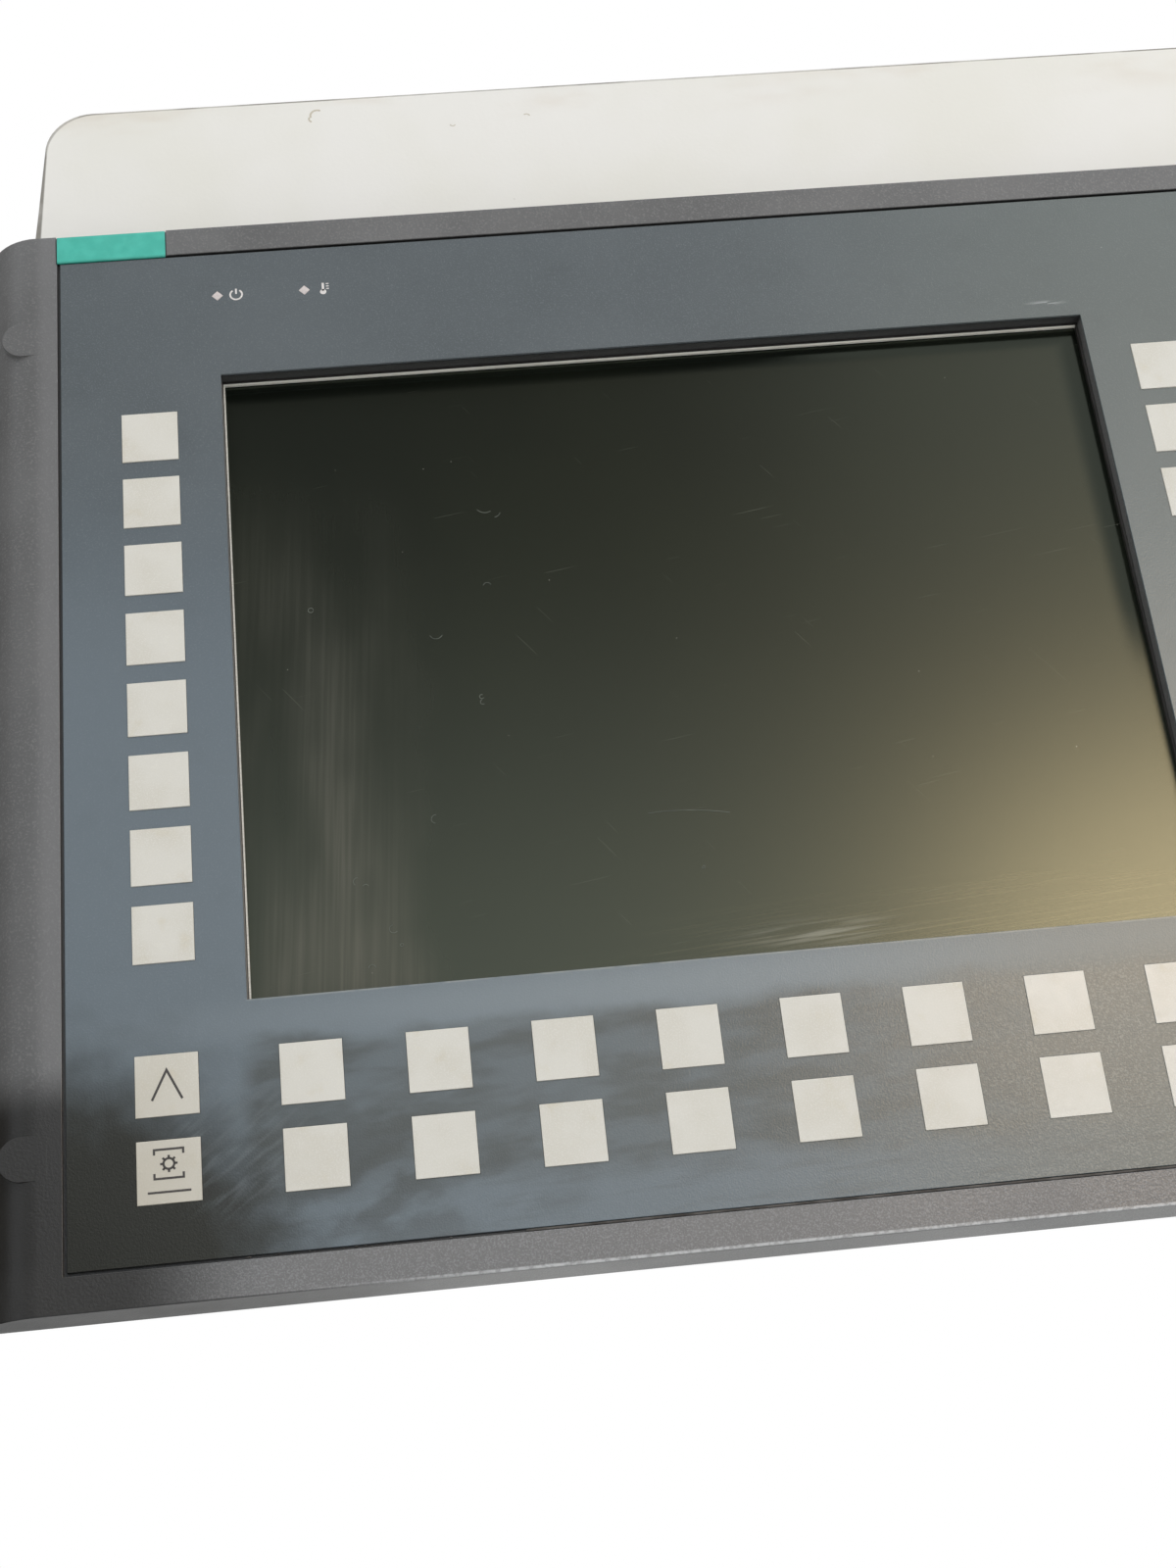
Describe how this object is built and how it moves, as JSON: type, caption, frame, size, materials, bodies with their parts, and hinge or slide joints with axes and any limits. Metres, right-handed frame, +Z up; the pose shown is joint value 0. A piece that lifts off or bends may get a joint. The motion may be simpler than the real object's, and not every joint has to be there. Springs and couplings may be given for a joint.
{
  "type": "operator panel",
  "caption": "Industrial operator panel: recessed display with push keys beside and below it, foil front in a moulded bezel with round rails, sheet steel rear housing and painted mounting plate.",
  "frame": {"origin": "middle of the rear face of the mounting plate's upstand, above the bezel", "axes": "+Z up, +X to the right as seen from the front, the front faces -Y"},
  "size_m": [0.407, 0.0505, 0.3704],
  "materials": {
    "bezel_plastic": "fine textured moulding",
    "foil_film": "satin printed film",
    "key_film": "satin printed film",
    "badge_enamel": "satin",
    "light_guide": "clear",
    "plug_plastic": "matt",
    "screw_steel": "zinc plated",
    "dome_film": "satin",
    "board_laminate": "solder mask",
    "display_steel": "bright",
    "pane_glass": "anti-glare",
    "backlight_casing": "matt",
    "support_steel": "zinc plated",
    "ribbon_grey": "matt",
    "housing_zinc": "zinc plated sheet",
    "gasket_foam": "foam",
    "plate_paint": "powder coat"
  },
  "bodies": {
    "panel": {"front_bezel": "bezel_plastic", "front_foil": "foil_film", "badge_plate": "badge_enamel", "indicator_light_guide": "light_guide", "key_dome_sheet": "dome_film", "key_board": "board_laminate", "display_frame": "display_steel", "display_pane": "pane_glass", "backlight_unit": "backlight_casing", "support_plate": "support_steel", "interface_board": "board_laminate", "backlight_inverter": "board_laminate", "ribbon_cable": "ribbon_grey", "rear_housing": "housing_zinc", "sealing_gasket": "gasket_foam", "mounting_plate": "plate_paint", "screw_plug_upper_left": "plug_plastic", "mounting_screw_upper_left": "screw_steel", "screw_plug_upper_right": "plug_plastic", "mounting_screw_upper_right": "screw_steel", "screw_plug_lower_left": "plug_plastic", "mounting_screw_lower_left": "screw_steel", "screw_plug_lower_right": "plug_plastic", "mounting_screw_lower_right": "screw_steel"},
    "left_key_1": {"left_key_1": "key_film"},
    "left_key_2": {"left_key_2": "key_film"},
    "left_key_3": {"left_key_3": "key_film"},
    "left_key_4": {"left_key_4": "key_film"},
    "left_key_5": {"left_key_5": "key_film"},
    "left_key_6": {"left_key_6": "key_film"},
    "left_key_7": {"left_key_7": "key_film"},
    "left_key_8": {"left_key_8": "key_film"},
    "lower_left_key_1": {"lower_left_key_1": "key_film"},
    "lower_left_key_2": {"lower_left_key_2": "key_film"},
    "right_key_1": {"right_key_1": "key_film"},
    "right_key_2": {"right_key_2": "key_film"},
    "right_key_3": {"right_key_3": "key_film"},
    "right_key_4": {"right_key_4": "key_film"},
    "right_key_5": {"right_key_5": "key_film"},
    "right_key_6": {"right_key_6": "key_film"},
    "right_key_7": {"right_key_7": "key_film"},
    "right_key_8": {"right_key_8": "key_film"},
    "lower_right_key_1": {"lower_right_key_1": "key_film"},
    "lower_right_key_2": {"lower_right_key_2": "key_film"},
    "upper_row_key_1": {"upper_row_key_1": "key_film"},
    "upper_row_key_2": {"upper_row_key_2": "key_film"},
    "upper_row_key_3": {"upper_row_key_3": "key_film"},
    "upper_row_key_4": {"upper_row_key_4": "key_film"},
    "upper_row_key_5": {"upper_row_key_5": "key_film"},
    "upper_row_key_6": {"upper_row_key_6": "key_film"},
    "upper_row_key_7": {"upper_row_key_7": "key_film"},
    "upper_row_key_8": {"upper_row_key_8": "key_film"},
    "lower_row_key_1": {"lower_row_key_1": "key_film"},
    "lower_row_key_2": {"lower_row_key_2": "key_film"},
    "lower_row_key_3": {"lower_row_key_3": "key_film"},
    "lower_row_key_4": {"lower_row_key_4": "key_film"},
    "lower_row_key_5": {"lower_row_key_5": "key_film"},
    "lower_row_key_6": {"lower_row_key_6": "key_film"},
    "lower_row_key_7": {"lower_row_key_7": "key_film"},
    "lower_row_key_8": {"lower_row_key_8": "key_film"}
  },
  "joints": [
    {"name": "left_key_1_press", "type": "slide", "parent": "panel", "child": "left_key_1", "axis": [0, 1, 0], "range_m": [0, 0.0005], "stiffness_N_per_m": 4000},
    {"name": "left_key_2_press", "type": "slide", "parent": "panel", "child": "left_key_2", "axis": [0, 1, 0], "range_m": [0, 0.0005], "stiffness_N_per_m": 4000},
    {"name": "left_key_3_press", "type": "slide", "parent": "panel", "child": "left_key_3", "axis": [0, 1, 0], "range_m": [0, 0.0005], "stiffness_N_per_m": 4000},
    {"name": "left_key_4_press", "type": "slide", "parent": "panel", "child": "left_key_4", "axis": [0, 1, 0], "range_m": [0, 0.0005], "stiffness_N_per_m": 4000},
    {"name": "left_key_5_press", "type": "slide", "parent": "panel", "child": "left_key_5", "axis": [0, 1, 0], "range_m": [0, 0.0005], "stiffness_N_per_m": 4000},
    {"name": "left_key_6_press", "type": "slide", "parent": "panel", "child": "left_key_6", "axis": [0, 1, 0], "range_m": [0, 0.0005], "stiffness_N_per_m": 4000},
    {"name": "left_key_7_press", "type": "slide", "parent": "panel", "child": "left_key_7", "axis": [0, 1, 0], "range_m": [0, 0.0005], "stiffness_N_per_m": 4000},
    {"name": "left_key_8_press", "type": "slide", "parent": "panel", "child": "left_key_8", "axis": [0, 1, 0], "range_m": [0, 0.0005], "stiffness_N_per_m": 4000},
    {"name": "lower_left_key_1_press", "type": "slide", "parent": "panel", "child": "lower_left_key_1", "axis": [0, 1, 0], "range_m": [0, 0.0005], "stiffness_N_per_m": 4000},
    {"name": "lower_left_key_2_press", "type": "slide", "parent": "panel", "child": "lower_left_key_2", "axis": [0, 1, 0], "range_m": [0, 0.0005], "stiffness_N_per_m": 4000},
    {"name": "right_key_1_press", "type": "slide", "parent": "panel", "child": "right_key_1", "axis": [0, 1, 0], "range_m": [0, 0.0005], "stiffness_N_per_m": 4000},
    {"name": "right_key_2_press", "type": "slide", "parent": "panel", "child": "right_key_2", "axis": [0, 1, 0], "range_m": [0, 0.0005], "stiffness_N_per_m": 4000},
    {"name": "right_key_3_press", "type": "slide", "parent": "panel", "child": "right_key_3", "axis": [0, 1, 0], "range_m": [0, 0.0005], "stiffness_N_per_m": 4000},
    {"name": "right_key_4_press", "type": "slide", "parent": "panel", "child": "right_key_4", "axis": [0, 1, 0], "range_m": [0, 0.0005], "stiffness_N_per_m": 4000},
    {"name": "right_key_5_press", "type": "slide", "parent": "panel", "child": "right_key_5", "axis": [0, 1, 0], "range_m": [0, 0.0005], "stiffness_N_per_m": 4000},
    {"name": "right_key_6_press", "type": "slide", "parent": "panel", "child": "right_key_6", "axis": [0, 1, 0], "range_m": [0, 0.0005], "stiffness_N_per_m": 4000},
    {"name": "right_key_7_press", "type": "slide", "parent": "panel", "child": "right_key_7", "axis": [0, 1, 0], "range_m": [0, 0.0005], "stiffness_N_per_m": 4000},
    {"name": "right_key_8_press", "type": "slide", "parent": "panel", "child": "right_key_8", "axis": [0, 1, 0], "range_m": [0, 0.0005], "stiffness_N_per_m": 4000},
    {"name": "lower_right_key_1_press", "type": "slide", "parent": "panel", "child": "lower_right_key_1", "axis": [0, 1, 0], "range_m": [0, 0.0005], "stiffness_N_per_m": 4000},
    {"name": "lower_right_key_2_press", "type": "slide", "parent": "panel", "child": "lower_right_key_2", "axis": [0, 1, 0], "range_m": [0, 0.0005], "stiffness_N_per_m": 4000},
    {"name": "upper_row_key_1_press", "type": "slide", "parent": "panel", "child": "upper_row_key_1", "axis": [0, 1, 0], "range_m": [0, 0.0005], "stiffness_N_per_m": 4000},
    {"name": "upper_row_key_2_press", "type": "slide", "parent": "panel", "child": "upper_row_key_2", "axis": [0, 1, 0], "range_m": [0, 0.0005], "stiffness_N_per_m": 4000},
    {"name": "upper_row_key_3_press", "type": "slide", "parent": "panel", "child": "upper_row_key_3", "axis": [0, 1, 0], "range_m": [0, 0.0005], "stiffness_N_per_m": 4000},
    {"name": "upper_row_key_4_press", "type": "slide", "parent": "panel", "child": "upper_row_key_4", "axis": [0, 1, 0], "range_m": [0, 0.0005], "stiffness_N_per_m": 4000},
    {"name": "upper_row_key_5_press", "type": "slide", "parent": "panel", "child": "upper_row_key_5", "axis": [0, 1, 0], "range_m": [0, 0.0005], "stiffness_N_per_m": 4000},
    {"name": "upper_row_key_6_press", "type": "slide", "parent": "panel", "child": "upper_row_key_6", "axis": [0, 1, 0], "range_m": [0, 0.0005], "stiffness_N_per_m": 4000},
    {"name": "upper_row_key_7_press", "type": "slide", "parent": "panel", "child": "upper_row_key_7", "axis": [0, 1, 0], "range_m": [0, 0.0005], "stiffness_N_per_m": 4000},
    {"name": "upper_row_key_8_press", "type": "slide", "parent": "panel", "child": "upper_row_key_8", "axis": [0, 1, 0], "range_m": [0, 0.0005], "stiffness_N_per_m": 4000},
    {"name": "lower_row_key_1_press", "type": "slide", "parent": "panel", "child": "lower_row_key_1", "axis": [0, 1, 0], "range_m": [0, 0.0005], "stiffness_N_per_m": 4000},
    {"name": "lower_row_key_2_press", "type": "slide", "parent": "panel", "child": "lower_row_key_2", "axis": [0, 1, 0], "range_m": [0, 0.0005], "stiffness_N_per_m": 4000},
    {"name": "lower_row_key_3_press", "type": "slide", "parent": "panel", "child": "lower_row_key_3", "axis": [0, 1, 0], "range_m": [0, 0.0005], "stiffness_N_per_m": 4000},
    {"name": "lower_row_key_4_press", "type": "slide", "parent": "panel", "child": "lower_row_key_4", "axis": [0, 1, 0], "range_m": [0, 0.0005], "stiffness_N_per_m": 4000},
    {"name": "lower_row_key_5_press", "type": "slide", "parent": "panel", "child": "lower_row_key_5", "axis": [0, 1, 0], "range_m": [0, 0.0005], "stiffness_N_per_m": 4000},
    {"name": "lower_row_key_6_press", "type": "slide", "parent": "panel", "child": "lower_row_key_6", "axis": [0, 1, 0], "range_m": [0, 0.0005], "stiffness_N_per_m": 4000},
    {"name": "lower_row_key_7_press", "type": "slide", "parent": "panel", "child": "lower_row_key_7", "axis": [0, 1, 0], "range_m": [0, 0.0005], "stiffness_N_per_m": 4000},
    {"name": "lower_row_key_8_press", "type": "slide", "parent": "panel", "child": "lower_row_key_8", "axis": [0, 1, 0], "range_m": [0, 0.0005], "stiffness_N_per_m": 4000}
  ]
}
